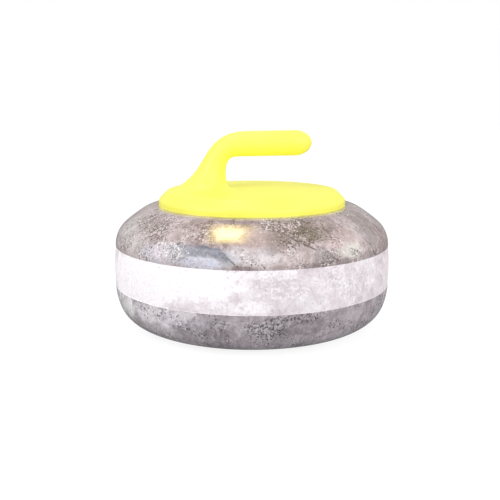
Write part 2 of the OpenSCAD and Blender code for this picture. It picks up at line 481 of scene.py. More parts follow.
def granite(
    name, tones, pale, dark, roughness,
    grit=1.0, patches=(), herds=(), streaky=USUAL_STREAKS, fleck=0.0025, cloud=0.055,
):
    """Granite: tones and local patches, then hairlines, crystals, and dark and pale grains.

    tones holds the colours from the darkest to the palest, pale and dark are the grains'
    colours, grit is how strongly the grains show, patches holds local patches, and herds holds
    the places where grains gather, or keep away. streaky is the share of the streaks, fleck
    the width of a grain, and cloud the width of a cloud."""
    look = Look(name, roughness)
    near = warped(look)
    stops = [(i / (len(tones) - 1), tone) for i, tone in enumerate(tones)]
    colour = look.ramp(tone_of(look, cloud, streaky), *stops)
    for patch in patches:
        colour = look.patch(colour, *patch)
    lines = look.times(hairlines(look), 0.45 * grit * streaky / USUAL_STREAKS)
    colour = look.mix(lines, colour, dark)

    fine = look.noise(CRYSTAL_GRAIN, 3, 0.6, low=0.30, high=0.70)
    crystals = look.weigh((look.cells(CRYSTAL, near), 0.5), (fine, 0.5))
    shade = look.stretch(crystals, 0.0, 1.0, 1 - 0.18 * grit, 1 + 0.16 * grit)
    colour = look.vector("SCALE", colour, scale=shade)

    dark_seed = look.noise(fleck, 2, 0.7, 0.2, at=near)
    pale_seed = look.noise(fleck * 1.15, 2, 0.7, 0.2, at=near)
    dark_seed = look.weigh((dark_seed, 1.0), (gathering(look, herds, 4), -0.17))
    pale_seed = look.weigh((pale_seed, 1.0), (gathering(look, herds, 5), 0.15))
    dark_share = look.times(look.stretch(dark_seed, 0.36, 0.30), 0.74 * grit)
    pale_share = look.times(look.stretch(pale_seed, 0.67, 0.73), 0.66 * grit)
    look.colour(look.mix(pale_share, look.mix(dark_share, colour, dark), pale))
    return look


UPPER_TONES = ((0.195, 0.14, 0.135), (0.36, 0.28, 0.275), (0.49, 0.405, 0.40), (0.66, 0.585, 0.59))
LOWER_TONES = ((0.15, 0.122, 0.138), (0.285, 0.248, 0.273), (0.43, 0.38, 0.41), (0.60, 0.555, 0.585))
BAND_TONES = ((0.58, 0.515, 0.55), (0.68, 0.61, 0.65), (0.77, 0.71, 0.745), (0.88, 0.85, 0.88))

# Local patches: azimuth in degrees from the front, height, half width and half height in
# millimetres, colour and strength. What may follow is how ragged and how soft the edge is,
# the tilt in degrees, and the width in metres of the edge's ragged bits.
# Some upper and band patches are painted reflection and painted light, as marked below.
UPPER_PATCHES_AND_REFLECTION = (
    (19.0, 114.0, 40.0, 11.0, (0.21, 0.165, 0.125), 0.68),
    (23.0, 113.0, 14.0, 5.5, (0.165, 0.135, 0.075), 0.70, 1.4, 0.4),
    (-27.0, 118.0, 18.0, 6.0, (0.28, 0.215, 0.19), 0.30),
    (59.0, 117.0, 24.0, 11.0, (0.22, 0.175, 0.165), 0.60),
    (-68.0, 103.0, 24.0, 18.0, (0.72, 0.68, 0.67), 0.60),
    (-53.0, 115.0, 30.0, 8.0, (0.27, 0.21, 0.19), 0.5),
    (39.0, 104.0, 16.0, 9.0, (0.54, 0.41, 0.39), 0.5),
    (54.0, 103.0, 13.0, 9.0, (0.31, 0.27, 0.26), 0.80),
    (56.0, 93.0, 13.0, 9.0, (0.36, 0.31, 0.30), 0.50),
    (-1.0, 96.0, 29.0, 8.0, (0.68, 0.635, 0.66), 0.80, 0.9, 0.3),
    (0.0, 109.0, 15.0, 8.0, (0.47, 0.355, 0.34), 0.70, 1.2, 0.4),
    (9.0, 106.0, 9.0, 9.0, (0.27, 0.215, 0.20), 0.60, 1.2, 0.4),
    (15.5, 117.5, 9.0, 4.0, (0.54, 0.44, 0.42), 0.80, 1.2, 0.4),
    (-16.0, 116.0, 8.0, 5.0, (0.60, 0.48, 0.44), 0.50, 1.2, 0.4),
    (-47.0, 99.0, 12.0, 5.0, (0.64, 0.60, 0.58), 0.50, 1.2, 0.4),
    (33.0, 118.0, 9.0, 4.0, (0.52, 0.42, 0.40), 0.50, 1.2, 0.4),
    (14.0, 101.0, 18.0, 4.5, (0.28, 0.225, 0.215), 0.40),
    (-2.5, 85.2, 10.0, 2.2, (0.17, 0.15, 0.155), 0.60, 1.2, 0.4),
    (3.0, 88.0, 8.0, 4.0, (0.66, 0.62, 0.63), 0.40, 1.2, 0.4),
    (7.0, 99.5, 7.0, 5.0, (0.33, 0.28, 0.275), 0.55, 1.2, 0.4),
    # Painted reflection: the blue-grey patch below paints a window's mirror image in the polished stone
    # into the colour.
    (-35.0, 92.0, 30.0, 10.0, (0.52, 0.50, 0.56), 0.90, 1.3, 0.4),
    (-37.0, 94.5, 16.0, 7.0, (0.74, 0.67, 0.73), 0.70, 1.4, 0.4),
    # Painted reflection: the slate and blue-grey patches from here to the one tilted by 30 degrees
    # paint the rest of that window's mirror image into the colour.
    (-25.0, 97.0, 18.0, 7.0, (0.25, 0.255, 0.29), 0.90, 1.6, 0.4),
    (-13.0, 92.0, 19.0, 9.0, (0.50, 0.49, 0.53), 1.05, 1.0, 0.35),
    (-18.5, 89.0, 18.0, 5.5, (0.60, 0.60, 0.70), 1.05, 1.0, 0.30),
    (-19.0, 98.5, 21.0, 4.5, (0.15, 0.155, 0.20), 1.15, 1.2, 0.40),
    (-11.5, 96.0, 9.0, 4.0, (0.20, 0.205, 0.25), 0.85, 0.8, 0.35, 30.0),
    (-7.0, 90.5, 12.0, 0.9, (0.16, 0.14, 0.15), 0.80, 1.6, 0.5, 40.0, 0.006),
    (19.5, 104.5, 17.0, 0.8, (0.11, 0.09, 0.075), 0.80, 1.6, 0.5, 27.0, 0.006),
    (26.0, 98.0, 11.0, 0.8, (0.14, 0.11, 0.105), 0.65, 1.6, 0.5, 48.0, 0.006),
    (-60.0, 112.0, 16.0, 1.6, (0.74, 0.70, 0.68), 0.45, 1.0, 0.5, -35.0, 0.005),
    (-47.0, 107.0, 14.0, 1.2, (0.66, 0.60, 0.58), 0.45, 1.0, 0.5, -30.0, 0.005),
    (18.0, 85.5, 36.0, 2.5, (0.28, 0.25, 0.255), 0.30),
    (28.0, 91.0, 9.0, 6.0, (0.17, 0.14, 0.16), 0.60),
    (36.0, 86.0, 10.0, 3.5, (0.20, 0.17, 0.18), 0.70),
    (26.0, 95.5, 8.0, 6.0, (0.26, 0.215, 0.215), 0.85),
    (40.0, 94.0, 14.0, 6.5, (0.74, 0.73, 0.67), 0.75, 1.0, 0.5),
    (50.0, 86.5, 12.0, 3.5, (0.26, 0.22, 0.23), 0.60),
    (31.5, 101.0, 7.0, 4.0, (0.74, 0.60, 0.59), 0.35),
    (-58.0, 98.0, 24.0, 13.0, (0.62, 0.59, 0.59), 0.45),
    (-76.0, 121.0, 18.0, 6.0, (0.50, 0.38, 0.38), 0.5),
)
LOWER_PATCHES = (
    (-36.0, 34.0, 36.0, 11.0, (0.88, 0.82, 0.88), 0.75, 1.8, 0.5),
    (-55.0, 36.0, 6.0, 12.0, (0.96, 0.94, 0.94), 1.10, 1.0, 0.4),
    (-45.0, 30.0, 12.0, 9.0, (0.86, 0.81, 0.85), 0.80, 1.4, 0.4),
    (-66.0, 34.0, 34.0, 14.0, (0.92, 0.90, 0.92), 0.90, 1.6, 0.5),
    (74.0, 37.0, 24.0, 13.0, (0.86, 0.77, 0.80), 0.75, 1.4, 0.5),
    (-23.0, 26.0, 16.0, 4.0, (0.16, 0.14, 0.16), 0.25, 1.8, 0.4),
    (-27.0, 41.0, 18.0, 4.0, (0.72, 0.67, 0.71), 0.80, 1.4, 0.4),
    (-17.0, 17.0, 16.0, 5.0, (0.50, 0.46, 0.49), 0.50, 1.4, 0.4),
    (-38.0, 19.0, 22.0, 6.0, (0.62, 0.58, 0.60), 0.60, 1.4, 0.4),
    (9.0, 26.0, 22.0, 7.0, (0.15, 0.13, 0.15), 0.45, 1.4, 0.4),
    (2.5, 30.0, 9.0, 9.0, (0.50, 0.46, 0.49), 0.55, 1.4, 0.4),
    (-13.0, 35.0, 20.0, 6.0, (0.56, 0.51, 0.55), 0.45, 1.4, 0.4),
    (20.0, 29.0, 26.0, 8.0, (0.18, 0.15, 0.17), 0.60, 1.4),
    (43.0, 32.0, 9.0, 6.0, (0.62, 0.56, 0.60), 0.40, 1.4),
    (17.0, 38.0, 34.0, 5.0, (0.19, 0.16, 0.18), 0.60, 1.4, 0.4),
)
BAND_PATCHES_AND_LIGHT = (
    (-51.0, 54.0, 8.0, 9.0, (0.84, 0.80, 0.70), 0.5),
    # Painted light: the next two large, nearly white patches make the left half of the band pale, the
    # key lamp's light on that side painted into the colour over the band's own pale tone.
    (-30.0, 72.0, 66.0, 18.0, (0.97, 0.93, 0.96), 1.7, 0.8),
    (-52.0, 60.0, 54.0, 26.0, (0.98, 0.94, 0.965), 1.5, 0.8),
    (-20.0, 53.0, 24.0, 7.0, (0.93, 0.88, 0.91), 0.40, 1.4),
    (-13.0, 66.0, 12.0, 10.0, (0.96, 0.92, 0.95), 0.80, 1.2),
    (6.0, 80.0, 26.0, 5.0, (0.97, 0.93, 0.96), 0.80, 1.0),
    (0.0, 51.0, 18.0, 6.0, (0.95, 0.91, 0.94), 0.80, 1.2),
    (-1.0, 74.0, 9.0, 5.0, (0.72, 0.66, 0.70), 0.30, 1.4, 0.5),
    (9.0, 72.0, 22.0, 9.0, (0.63, 0.57, 0.62), 0.50, 1.6, 0.5),
    (16.0, 56.0, 26.0, 9.0, (0.63, 0.57, 0.61), 0.45, 1.6, 0.5),
    (44.0, 74.0, 22.0, 9.0, (0.64, 0.58, 0.61), 0.40, 1.6, 0.5),
    (37.0, 58.0, 14.0, 12.0, (0.90, 0.86, 0.89), 0.45, 1.2, 0.5),
)

# Where grains gather: azimuth, height, half width and half height as above, then how many
# more dark and how many more pale grains there are. Fewer where that is negative.
UPPER_HERDS = (
    (19.0, 113.0, 40.0, 12.0, 0.75, 0.20),
    (-50.0, 115.0, 36.0, 11.0, 0.65, 0.50),
    (-20.0, 117.0, 22.0, 6.0, 0.65, 0.35),
    (29.0, 90.0, 11.0, 8.0, 0.90, 0.30),
    (0.0, 86.5, 14.0, 3.0, 0.45, 0.20),
    (-32.0, 96.0, 17.0, 9.0, 0.35, 0.90),
    (5.0, 98.0, 26.0, 6.0, -0.30, 0.20),
    (-58.0, 96.0, 12.0, 9.0, 0.60, 0.30),
    (0.0, 108.0, 18.0, 9.0, -1.0, -0.6),
    (-13.0, 94.0, 18.0, 10.0, -1.0, -0.7),
    (46.0, 104.0, 20.0, 8.0, -0.5, -0.5),
)
LOWER_HERDS = (
    (15.0, 39.0, 26.0, 5.0, 0.75, 0.30),
    (6.0, 30.0, 16.0, 8.0, 0.80, 0.55),
    (-12.0, 33.0, 12.0, 6.0, 0.60, 0.55),
    (-34.0, 36.0, 16.0, 6.0, 0.45, 0.50),
    (-26.0, 29.0, 7.0, 5.0, 0.70, 0.40),
    (33.0, 30.0, 8.0, 6.0, 0.65, 0.40),
    (62.0, 37.0, 10.0, 6.0, 0.60, 0.30),
    (-20.0, 36.0, 12.0, 8.0, -0.7, -0.4),
    (-5.0, 40.0, 10.0, 5.0, -0.6, -0.4),
    (22.0, 27.0, 12.0, 6.0, -0.7, -0.5),
    (46.0, 32.0, 16.0, 9.0, -0.7, -0.4),
    (-52.0, 34.0, 12.0, 9.0, -0.6, -0.3),
)
BAND_HERDS_AND_LIGHT = (
    # Painted light: this herd clears the grains from the left half of the band, where the key lamp's
    # light is painted in.
    (-40.0, 68.0, 70.0, 26.0, -1.0, -0.8),
    (10.0, 66.0, 30.0, 12.0, 0.25, 0.85),
    (40.0, 62.0, 36.0, 18.0, 0.20, 0.65),
    (-14.0, 53.0, 30.0, 8.0, 0.15, 0.35),
)


def granite_looks():
    upper = granite(
        "polished_granite_upper", UPPER_TONES, (0.88, 0.82, 0.80), (0.075, 0.052, 0.04), 0.2,
        patches=UPPER_PATCHES_AND_REFLECTION, herds=UPPER_HERDS, fleck=0.0020,
    )
    upper.coat(0.3, 0.1)
    lower = granite(
        "polished_granite_lower", LOWER_TONES, (0.66, 0.63, 0.66), (0.04, 0.032, 0.04), 0.22,
        patches=LOWER_PATCHES, herds=LOWER_HERDS, fleck=0.0020,
    )
    lower.coat(0.3, 0.1)
    band = granite(
        "sand_blasted_granite", BAND_TONES, (1.0, 0.98, 1.0), (0.49, 0.43, 0.46), 0.85, 0.64,
        patches=BAND_PATCHES_AND_LIGHT, herds=BAND_HERDS_AND_LIGHT, streaky=0.0, fleck=0.0026, cloud=0.032,
    )
    band.bump(band.noise(0.0009, 3, 0.7), 0.25, 0.0005)
    sawn = granite("cut_granite", LOWER_TONES, (0.80, 0.77, 0.78), (0.10, 0.09, 0.10), 0.7)
    return upper.material, lower.material, band.material, sawn.material


def insert_looks():
    tones = ((0.09, 0.11, 0.13), (0.16, 0.19, 0.22), (0.22, 0.25, 0.29), (0.31, 0.35, 0.39))
    blue = granite("blue_fine_granite", tones, (0.50, 0.55, 0.60), (0.03, 0.035, 0.04), 0.3, 0.7)
    worn = ((0.26, 0.29, 0.32), (0.36, 0.39, 0.42), (0.44, 0.47, 0.50), (0.55, 0.58, 0.61))
    ground = granite(
        "ground_running_band", worn, (0.70, 0.73, 0.76), (0.16, 0.18, 0.20), 0.8, 0.6, streaky=0.0
    )
    ground.bump(ground.noise(0.0007, 3, 0.7), 0.4, 0.0004)
    return blue.material, ground.material


def plastic_look():
    look = Look("lemon_plastic", 0.38, specular=0.4)
    tint = look.noise(0.045, 2, 0.5, low=0.35, high=0.65)
    look.colour(look.mix(tint, (0.925, 0.890, 0.118), (0.95, 0.915, 0.138)))
    look.rough(look.noise(0.02, 4, 0.6), 0.33, 0.45)
    look.bump(look.noise(0.0007, 2, 0.5), 0.08, 0.0002)
    return look.material


def metal_look(name, dark, light, roughness):
    look = Look(name, roughness, metallic=1.0)
    wear = look.noise(0.004, 5, 0.65, low=0.35, high=0.65)
    look.colour(look.mix(wear, dark, light))
    look.rough(look.noise(0.0015, 4, 0.6), roughness - 0.08, roughness + 0.12)
    look.bump(look.noise(0.0004, 2, 0.5), 0.1, 0.0001)
    return look.material


def soft_look(name, dark, light, roughness, grain=0.0008):
    look = Look(name, roughness)
    tint = look.noise(0.006, 4, 0.6, low=0.35, high=0.65)
    look.colour(look.mix(tint, dark, light))
    look.rough(look.noise(0.003, 3, 0.6), roughness - 0.06, roughness + 0.08)
    look.bump(look.noise(grain, 3, 0.6), 0.2, 0.0002)
    return look.material


# ---------------------------------------------------------------- the stone

STONE_TOP = top_of("granite_body")
SEAT_Z = top_of("top_bushing") - FLANGE_T


def band_line(recess, steps=16):
    """The striking band, from its lower edge up, set back by recess from the polished skin."""
    made = []
    for i in range(steps + 1):
        s = -1 + 2 * i / steps
        middle = BAND_BOTTOM_R + (BAND_TOP_R - BAND_BOTTOM_R) * (s + 1) / 2
        z = BAND_MID_Z + s * (BAND_HALF - recess)
        made.append((middle + BAND_BULGE * (1 - s * s) - recess, z))
    return made


def upper_line():
    line = arcs_on((BAND_TOP_R, BAND_HALF), UPPER_TURNS)
    return [(r, BAND_MID_Z + z) for r, z in line]


def lower_line():
    line = arcs_on((BAND_BOTTOM_R, BAND_HALF), LOWER_TURNS)
    return [(r, BAND_MID_Z - z) for r, z in line]


def underside_z(r):
    end_r, end_z = lower_line()[-1]
    return end_z * (r - RING_OUTER_R) / (end_r - RING_OUTER_R)


def granite_body(upper, lower, band, sawn):
    recess_r = radius_of("insert_bond")
    recess_z = top_of("insert_bond")
    seat_r = radius_of("top_bushing") + SEAT_CLEARANCE
    cup_at_seat = dish_line(TOP_CUP_R, STONE_TOP, -TOP_CUP_DEPTH, seat_r)
    runs = [
        (sawn, [(recess_r, underside_z(recess_r))]),
        (lower, [(recess_r, underside_z(recess_r))] + lower_line()[::-1]),
        (band, band_line(BAND_RECESS)),
        (upper, upper_line()),
        (upper, [(TOP_CUP_R, STONE_TOP)]),
        (sawn, cup_at_seat + [(seat_r, SEAT_Z)]),
        (sawn, [(BORE_R, SEAT_Z), (BORE_R, recess_z), (recess_r, recess_z)]),
    ]
    return place(turned("turned_granite_body", runs), "granite", "granite_body")


def running_insert(blue, ground):
    insert_r = radius_of("running_band_insert")
    insert_z = top_of("running_band_insert")
    counterbore_z = top_of("rubber_washer")
    cup = dish_line(RING_INNER_R, 0.0, CUP_DEPTH, COUNTERBORE_R)
    outline = [
        (RING_OUTER_R, 0.0), (insert_r, underside_z(insert_r)), (insert_r, insert_z),
        (BORE_R, insert_z), (BORE_R, counterbore_z), (COUNTERBORE_R, counterbore_z),
    ]
    points = rounded(outline + cup[::-1], INSERT_EDGE)
    ring = [p for p in points if p[1] < RING_EDGE_Z]
    rest = [p for p in points if p[1] >= RING_EDGE_Z]
    runs = [(blue, rest), (ground, sorted(ring))]
    return place(turned("running_ring_insert", runs), "insert_granite", "running_band_insert")


# ---------------------------------------------------------------- the handle

DISC_R = 97.6
CROWN_TOP = STONE_TOP + 17.0


def disc_edge():
    """The disc's outside, from its lower edge up to where its crown starts."""
    wall = arc_on((DISC_R, STONE_TOP + DISC_WALL), 0, DISC_CHAMFER_TURN, DISC_EDGE_ARC)
    turn = math.radians(DISC_CHAMFER_TURN)
    corner = (wall[-1][0] - DISC_CHAMFER * math.sin(turn), wall[-1][1] + DISC_CHAMFER * math.cos(turn))
    return [(DISC_R, STONE_TOP)] + wall + arc_on(corner, DISC_CHAMFER_TURN, CROWN_TURN, DISC_TOP_ARC)


def disc_underside():
    """The handle's underside, from the axis out to the rim."""
    insert_low = bottom_of("thread_insert")
    insert_high = top_of("thread_insert")
    land = (insert_high - insert_low) / 4
    rim_r = DISC_R - DISC_WALL
    rib_low = STONE_TOP + 2.0
    hub_z = top_of("top_bushing")
    wide = radius_of("thread_insert")
    narrow = wide - INSERT_GROOVE
    return [
        (wide, insert_high), (wide, insert_high - land), (narrow, insert_high - land),
        (narrow, insert_high - 1.5 * land), (wide, insert_high - 1.5 * land),
        (wide, insert_low + 1.5 * land), (narrow, insert_low + 1.5 * land),
        (narrow, insert_low + land), (wide, insert_low + land), (wide, insert_low),
        (WASHER_HOLE_R, insert_low), (WASHER_HOLE_R, hub_z), (HUB_R, hub_z), (HUB_R, rib_low),
        (rim_r, rib_low), (rim_r, STONE_TOP),
    ]


def crown_z(x, y):
    edge_r, edge_z = disc_edge()[-1]
    return CROWN_TOP - (CROWN_TOP - edge_z) * (x * x + y * y) / edge_r ** 2


# Gooseneck stations, from the crown up: x and z of the outer side, x and z of the inner
# side, and the half width. The first three have heights above the crown instead.
FLARE = ((-92.0, 0.0, -8.0, 0.0, 46.0), (-86.0, 0.0, -14.0, 0.0, 41.5), (-82.4, 0.2, -19.0, 0.1, 37.4))
STATIONS = (
    (-79.6, 139.9, -22.6, 141.0, 33.4),
    (-76.2, 142.0, -24.8, 142.7, 29.9),
    (-71.6, 145.1, -26.1, 145.4, 26.5),
    (-63.6, 152.1, -27.1, 150.4, 22.5),
    (-56.7, 160.5, -27.3, 156.1, 19.5),
    (-50.7, 170.0, -27.0, 161.5, 17.5),
    (-44.7, 179.4, -25.8, 166.0, 16.0),
    (-37.3, 187.7, -23.7, 169.4, 14.8),
    (-28.3, 193.8, -20.3, 171.7, 13.8),
    (-18.4, 197.2, -15.4, 172.5, 13.2),
    (-9.0, 198.5, -8.8, 172.7, 13.0),
)
NECK_STEPS = 5
CROWN_STEPS = 14
NOSE_STEPS = 14


def station_ring(station, on_crown):
    outer_x, outer_z, inner_x, inner_z, half_w = station
    made = []
    for k in range(HANDLE_SIDES):
        a = 2 * math.pi * k / HANDLE_SIDES
        lean = math.cos(a)
        x = (outer_x + inner_x) / 2 + (outer_x - inner_x) / 2 * lean
        y = half_w * math.sin(a)
        z = (outer_z + inner_z) / 2 + (outer_z - inner_z) / 2 * lean
        made.append(Vector((x, y, z + crown_z(x, y) if on_crown else z)))
    return made


def grip_ring(along, r):
    """A ring of the grip, whose axis leans up by the tilt."""
    centre = Vector((along * math.cos(GRIP_TILT), 0.0, GRIP_Z + along * math.sin(GRIP_TILT)))
    up = Vector((-math.sin(GRIP_TILT), 0.0, math.cos(GRIP_TILT)))
    side = Vector((0.0, 1.0, 0.0))
    turns = [2 * math.pi * k / HANDLE_SIDES for k in range(HANDLE_SIDES)]
    return [centre + up * r * math.cos(a) + side * r * math.sin(a) for a in turns]


def between(a, b, c, d, t):
    """A point of the smooth curve through a, b, c and d, on its way from b to c."""
    bend = (2 * a - 5 * b + 4 * c - d) * t ** 2
    twist = (3 * b - a - 3 * c + d) * t ** 3
    return 0.5 * (2 * b + (c - a) * t + bend + twist)


def handle_rings():
    rings = [circle(r, z, HANDLE_SIDES) for r, z in rounded(disc_underside(), 0.5, closed=False)]
    rings += [circle(r, z, HANDLE_SIDES) for r, z in disc_edge()]
    edge = [Vector(p) for p in rings[-1]]
    foot = station_ring(FLARE[1], True)
    for i in range(1, CROWN_STEPS):
        share = 1 - (1 - i / CROWN_STEPS) ** 2
        ring = [a.lerp(b, share) for a, b in zip(edge, foot)]
        rings.append([Vector((p.x, p.y, crown_z(p.x, p.y))) for p in ring])
    guides = [station_ring(s, True) for s in FLARE] + [station_ring(s, False) for s in STATIONS]
    guides += [grip_ring(x, GRIP_R) for x in (GRIP_START, GRIP_START + 10)]
    for i in range(1, len(guides) - 2):
        for step in range(NECK_STEPS):
            near = zip(guides[i - 1], guides[i], guides[i + 1], guides[i + 2])
            rings.append([between(*four, step / NECK_STEPS) for four in near])
    rings += [grip_ring(GRIP_START + (GRIP_END - GRIP_START) * i / 6, GRIP_R) for i in range(6)]
    for i in range(NOSE_STEPS):
        t = math.pi / 2 * i / NOSE_STEPS
        rings.append(grip_ring(GRIP_END + NOSE_LEN * math.sin(t), GRIP_R * math.cos(t)))
    return rings


def pocket_rings(number):
    """One pocket between two ribs under the disc, up to its roof. It leaves a narrow ledge at
    the rim and at the hub, so that its walls stay clear of their rounded corners."""
    edge_r = disc_edge()[-1][0]
    roof = CROWN_TOP - DISC_WALL
    wall_r = DISC_R - DISC_WALL
    outline = (
        (wall_r - LEDGE, STONE_TOP + 1.0), (wall_r - LEDGE, STONE_TOP + DISC_WALL + 1),
        (edge_r - 1.5, roof - 1.5), (edge_r - 4.5, roof - 0.3), (edge_r - 9, roof),
    )
    middle = 2 * math.pi * number / RIB_COUNT
    rings = []
    for outer_r, z in outline:
        ring = []
        for r, steps, way in ((outer_r, 24, 1), (HUB_R + LEDGE, 8, -1)):
            half = math.pi / RIB_COUNT - math.asin(RIB_T / 2 / r)
            for i in range(steps + 1):
                a = middle + way * half * (2 * i / steps - 1)
                ring.append((r * math.cos(a), r * math.sin(a), z))
        rings.append(ring)
    return rings


def cut(piece, cutter):
    """Takes the cutter's space out of the piece, and removes the cutter."""
    step = piece.modifiers.new("pockets", "BOOLEAN")
    step.operation = "DIFFERENCE"
    step.solver = "EXACT"
    step.object = cutter
    graph = bpy.context.evaluated_depsgraph_get()
    made = bpy.data.meshes.new_from_object(piece.evaluated_get(graph))
    piece.modifiers.clear()
    piece.data = made
    bpy.data.objects.remove(cutter)
    return tidy(piece)


def handle(plastic):
    piece = skin("moulded_handle", handle_rings(), False, materials=[plastic])
    for number in range(RIB_COUNT):
        cut(piece, skin("pocket", pocket_rings(number), False, materials=[plastic]))
    return place(piece, "handle_plastic", "handle")


# ---------------------------------------------------------------- what holds the handle on

def shaped(z, radius_at):
    """A ring round the axis whose radius changes with the angle."""
    made = []
    for k in range(SMALL_SIDES):
        a = 2 * math.pi * k / SMALL_SIDES
        r = radius_at(a)
        made.append((-r * math.cos(a), r * math.sin(a), z))
    return made


def thread_ring(z, top, spare=0.0):
    """A ring of the screw thread, which dies away towards its lower end."""
    depth = THREAD_DEPTH * min(1.0, max(0.0, (z - top + THREAD_LEN) / (2 * THREAD_PITCH)))

    def radius_at(a):
        phase = (z / THREAD_PITCH - a / (2 * math.pi)) % 1.0
        groove = 1 - min(1.0, 1.15 * abs(2 * phase - 1))
        return BOLT_R - depth * groove + spare

    return shaped(z, radius_at)


def levels(low, high, step):
    count = max(1, round((high - low) / step))
    return [low + (high - low) * i / count for i in range(count + 1)]


def handle_bolt(steel):
    low = bottom_of("handle_bolt")
    seat = low + HEAD_H
    top = top_of("handle_bolt")

    def head_ring(z):
        cone = HEAD_FLAT_R - 0.2 + (HEAD_CORNER_R - HEAD_FLAT_R + 0.2) * (z - low) / HEAD_CHAMFER
        return shaped(z, lambda a: min(HEAD_FLAT_R / math.cos(a % (math.pi / 3) - math.pi / 6), cone))

    rings = [head_ring(z) for z in levels(low, low + HEAD_CHAMFER, HEAD_CHAMFER / 5)]
    rings += [head_ring(z) for z in (seat - 0.4, seat)]
    fillet = ((FILLET, 0.0), (FILLET / 4, FILLET / 4), (0.0, FILLET))
    rings += [circle(BOLT_R + r, seat + z, SMALL_SIDES) for r, z in fillet]
    rings += [circle(BOLT_R, z, SMALL_SIDES) for z in levels(seat + 6.0, top - THREAD_LEN - 1.0, 12.0)]
    rings += [thread_ring(z, top) for z in levels(top - THREAD_LEN, top - TIP_CHAMFER, THREAD_STEP)]
    rings.append(circle(BOLT_R - TIP_CHAMFER, top, SMALL_SIDES))
    piece = skin("hex_head_bolt", rings, False, materials=[steel])
    return place(piece, "bolt_steel", "handle_bolt")


def thread_insert(brass):
    low = bottom_of("thread_insert")
    high = top_of("thread_insert")
    wide = radius_of("thread_insert")
    narrow = wide - INSERT_GROOVE
    land = (high - low) / 4
    bolt_top = top_of("handle_bolt")

    def knurled(z):
        turn = KNURLS / (2 * math.pi)
        return shaped(z, lambda a: wide - KNURL_DEPTH * abs(2 * (a * turn % 1.0) - 1))

    def plain(r, z):
        return circle(r, z, SMALL_SIDES)

    rings = [plain(wide - 0.8, low), knurled(low + 0.4), knurled(low + land)]
    rings += [plain(narrow, low + land), plain(narrow, low + 1.5 * land)]
    rings += [knurled(low + 1.5 * land), knurled(high - 1.5 * land)]
    rings += [plain(narrow, high - 1.5 * land), plain(narrow, high - land)]
    rings += [knurled(high - land), knurled(high - 0.4)]
    rings += [plain(wide - 0.8, high), plain(BOLT_R + 0.5, high)]
    heights = levels(low + 0.5, high - 0.5, THREAD_STEP)
    rings += [thread_ring(z, bolt_top, 0.05) for z in reversed(heights)]
    rings.append(plain(BOLT_R + 0.5, low))
    piece = skin("knurled_thread_insert", rings, True, materials=[brass])
    return place(piece, "brass", "thread_insert")


def lock_washer(steel):
    """A split ring of nearly square wire, with its gap on the +X side."""
    low = bottom_of("lock_washer")
    high = top_of("lock_washer")
    outer_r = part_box("lock_washer")[1].y / MM
    corners = [(WASHER_HOLE_R, low), (outer_r, low), (outer_r, high), (WASHER_HOLE_R, high)]
    section = rounded(corners, 0.45)
    rings = []
    for turn in levels(0.0, 1.0, 1 / SMALL_SIDES):
        ring = []
        for r, z in section:
            gap = math.asin(SPLIT / 2 / r)
            a = gap + (2 * math.pi - 2 * gap) * turn
            ring.append((r * math.cos(a), r * math.sin(a), z))
        rings.append(ring)
    piece = skin("split_lock_washer", rings, False, materials=[steel])
    return place(piece, "washer_steel", "lock_washer")


def sleeve(name, node, slot, hole_r, material, reach, flange_t=None):
    """A washer or a bushing, which may have a flange of that thickness at its top."""
    low = bottom_of(node)
    high = top_of(node)
    outer_r = radius_of(node)
    outline = [(hole_r, low), (outer_r, low), (outer_r, high), (hole_r, high)]
    if flange_t:
        stem_r = radius_of("lower_bushing")
        outline[1:2] = [(stem_r, low), (stem_r, high - flange_t), (outer_r, high - flange_t)]
    piece = turned(name, [(material, rounded(outline, reach))], SMALL_SIDES)
    return place(piece, slot, node)


def fasteners():
    zinc = metal_look("zinc_steel", (0.50, 0.51, 0.53), (0.68, 0.69, 0.71), 0.32)
    stainless = metal_look("stainless_steel", (0.44, 0.44, 0.45), (0.60, 0.60, 0.61), 0.28)
    nylon = soft_look("milky_nylon", (0.80, 0.77, 0.70), (0.88, 0.86, 0.80), 0.45)
    rubber = soft_look("black_rubber", (0.020, 0.020, 0.022), (0.045, 0.045, 0.048), 0.8)
    handle_bolt(zinc)
    thread_insert(metal_look("turned_brass", (0.66, 0.46, 0.17), (0.84, 0.64, 0.30), 0.3))
    lock_washer(stainless)
    sleeve("bevelled_load_washer", "load_washer", "washer_steel", WASHER_HOLE_R, stainless, 0.5)
    sleeve("rubber_seat_washer", "rubber_washer", "rubber", WASHER_HOLE_R, rubber, 0.9)
    sleeve("flanged_top_bushing", "top_bushing", "nylon", BUSHING_HOLE_R, nylon, 0.5, FLANGE_T)
    sleeve("lower_bushing_sleeve", "lower_bushing", "nylon", BUSHING_HOLE_R, nylon, 0.5)
    dress("insert_bond", soft_look("epoxy_bond", (0.58, 0.55, 0.46), (0.72, 0.69, 0.60), 0.4))


# ---------------------------------------------------------------- the set

def camera():
    data = bpy.data.cameras.new("camera")
    data.lens = LENS
    data.sensor_width = SENSOR
    made = bpy.data.objects.new("camera", data)
    made.location = CAMERA_AT
    made.rotation_euler = (math.pi / 2 - CAMERA_PITCH, 0.0, 0.0)
    bpy.context.scene.collection.objects.link(made)
    bpy.context.scene.camera = made


def lamp(name, at, aim, size, power, colour=(1.0, 1.0, 1.0)):
    data = bpy.data.lights.new(name, "AREA")
    data.shape = "RECTANGLE"
    data.size, data.size_y = size
    data.energy = power
    data.color = colour
    made = bpy.data.objects.new(name, data)
    made.location = at
    made.rotation_euler = (Vector(aim) - Vector(at)).to_track_quat("-Z", "Y").to_euler()
    bpy.context.scene.collection.objects.link(made)
    return made


